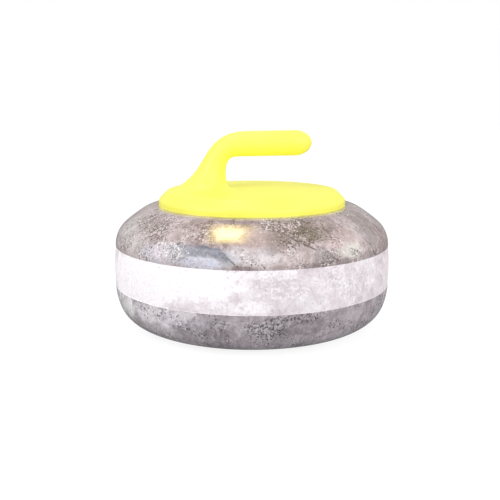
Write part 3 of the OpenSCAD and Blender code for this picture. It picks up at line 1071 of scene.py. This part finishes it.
def on_stone(azimuth, turn):
    """A point of the upper polished skin, and its normal.

    Azimuth 0 faces the camera and grows towards +X, and turn is the skin's lean."""
    line = upper_line()
    slopes = [
        (math.degrees(math.atan2(a[0] - b[0], b[1] - a[1])), a) for a, b in zip(line, line[1:])
    ]
    r, z = min(slopes, key=lambda s: abs(s[0] - turn))[1]
    a = math.radians(azimuth)
    out = Vector((math.sin(a), -math.cos(a), 0.0))
    point = (out * r + Vector((0.0, 0.0, z))) * MM
    normal = out * math.cos(math.radians(turn)) + Vector((0.0, 0.0, math.sin(math.radians(turn))))
    return point, normal


def seen_in(azimuth, turn, distance):
    """Where a lamp stands for the camera to see it mirrored at that place on the stone."""
    point, normal = on_stone(azimuth, turn)
    ray = (point - CAMERA_AT).normalized()
    return point, point + ray.reflect(normal) * distance


def lamp_across(name, azimuths, turns, distance, power, colour):
    """A lamp that shows only mirrored in the stone, between two azimuths and two leans."""
    azimuth = sum(azimuths) / 2
    turn = sum(turns) / 2
    point, at = seen_in(azimuth, turn, distance)
    left, right = (seen_in(a, turn, distance)[1] for a in azimuths)
    low, high = (seen_in(azimuth, t, distance)[1] for t in turns)
    size = ((right - left).length, (high - low).length)
    made = lamp(name, at, point, size, power, colour)
    made.visible_diffuse = False
    back = (at - point).normalized()
    side = (right - left).normalized()
    made.rotation_euler = Matrix((side, back.cross(side).normalized(), back)).transposed().to_euler()


def room():
    """An even white room: white to the camera, darker below, and dimmer in what mirrors it."""
    world = bpy.data.worlds.new("white_room")
    world.use_nodes = True
    tree = world.node_tree
    back = tree.nodes["Background"]
    back.inputs["Color"].default_value = (1.0, 1.0, 1.0, 1.0)
    way = tree.nodes.new("ShaderNodeTexCoord")
    parts = tree.nodes.new("ShaderNodeSeparateXYZ")
    tree.links.new(way.outputs["Generated"], parts.inputs["Vector"])
    path = tree.nodes.new("ShaderNodeLightPath")

    def between_values(value, low, high, to_low, to_high):
        made = tree.nodes.new("ShaderNodeMapRange")
        tree.links.new(value, made.inputs["Value"])
        numbers = (("From Min", low), ("From Max", high), ("To Min", to_low), ("To Max", to_high))
        for key, number in numbers:
            if isinstance(number, bpy.types.NodeSocket):
                tree.links.new(number, made.inputs[key])
            else:
                made.inputs[key].default_value = number
        return made.outputs["Result"]

    strength = between_values(parts.outputs["Z"], *HORIZON, ROOM_BELOW, ROOM_ABOVE)
    mirrored = between_values(parts.outputs["Z"], *HORIZON, MIRRORED_BELOW, MIRRORED_ABOVE)
    strength = between_values(path.outputs["Is Glossy Ray"], 0.0, 1.0, strength, mirrored)
    strength = between_values(path.outputs["Is Camera Ray"], 0.0, 1.0, strength, 1.0)
    tree.links.new(strength, back.inputs["Strength"])
    bpy.context.scene.world = world


def lights():
    """Soft studio lamps, and two warm ones for the yellow glint on the upper stone."""
    lamp("key", (-1.1, -0.8, 1.0), LAMP_AIM, size=(1.0, 1.0), power=10.5)
    lamp("fill", (1.0, -1.2, 0.7), LAMP_AIM, size=(1.6, 1.2), power=13.5)
    back = lamp("back", (0.7, 0.9, 1.25), (0.0, 0.0, 0.12), size=(1.2, 1.2), power=4.5)
    back.visible_glossy = False
    lamp_across(
        "warm_glint", (-14.0, -5.0), (51.5, 56.5), distance=0.6, power=1.15, colour=(1.0, 0.86, 0.34)
    )
    lamp_across(
        "warm_halo", (-18.0, -1.0), (48.5, 59.0), distance=0.7, power=1.1, colour=(1.0, 0.78, 0.16)
    )


def floor():
    """A pale floor that only the camera and the shadows see."""
    look = Look("pale_floor", 0.9, specular=0.1)
    look.colour(look.mix(look.noise(0.6, 2), (0.21, 0.21, 0.21), (0.23, 0.23, 0.23)))
    look.shader.inputs["Emission Color"].default_value = (1.0, 1.0, 1.0, 1.0)
    look.shader.inputs["Emission Strength"].default_value = FLOOR_GLOW
    mesh = bpy.data.meshes.new("floor")
    corners = [(x * FLOOR_HALF, y * FLOOR_HALF, 0.0) for x, y in ((-1, -1), (1, -1), (1, 1), (-1, 1))]
    mesh.from_pydata(corners, [], [(0, 1, 2, 3)])
    mesh.materials.append(look.material)
    made = bpy.data.objects.new("floor", mesh)
    made.visible_diffuse = False
    made.visible_glossy = False
    bpy.context.scene.collection.objects.link(made)


def dress(node, material):
    """A CAD node that keeps its shape gets a finished material."""
    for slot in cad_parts[node].material_slots:
        slot.material = material


camera()
room()
lights()
floor()
granite_body(*granite_looks())
running_insert(*insert_looks())
handle(plastic_look())
fasteners()

bpy.context.scene.view_settings.view_transform = "Standard"
